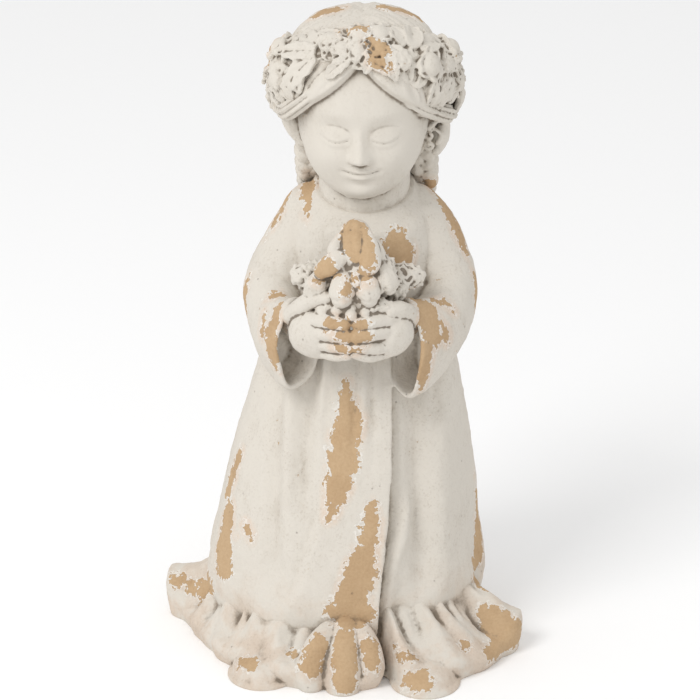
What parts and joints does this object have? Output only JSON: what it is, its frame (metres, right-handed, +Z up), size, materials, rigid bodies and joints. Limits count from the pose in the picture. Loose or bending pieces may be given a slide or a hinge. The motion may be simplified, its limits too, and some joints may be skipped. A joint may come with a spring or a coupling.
{
  "type": "garden statue of a girl",
  "caption": "Cast garden statue of a standing girl in a long gathered dress, head bowed under a flower wreath, cupping a posy of buds; flat underside.",
  "frame": {"origin": "middle of the flat underside that the statue stands on", "axes": "+Z up from the ground, the figure looks along -Y, +X is to the viewer's right"},
  "size_m": [0.2271, 0.2207, 0.4124],
  "materials": {
    "statue": "worn whitewash over buff cast stone"
  },
  "bodies": {
    "root": {"statue": "statue"}
  },
  "joints": []
}
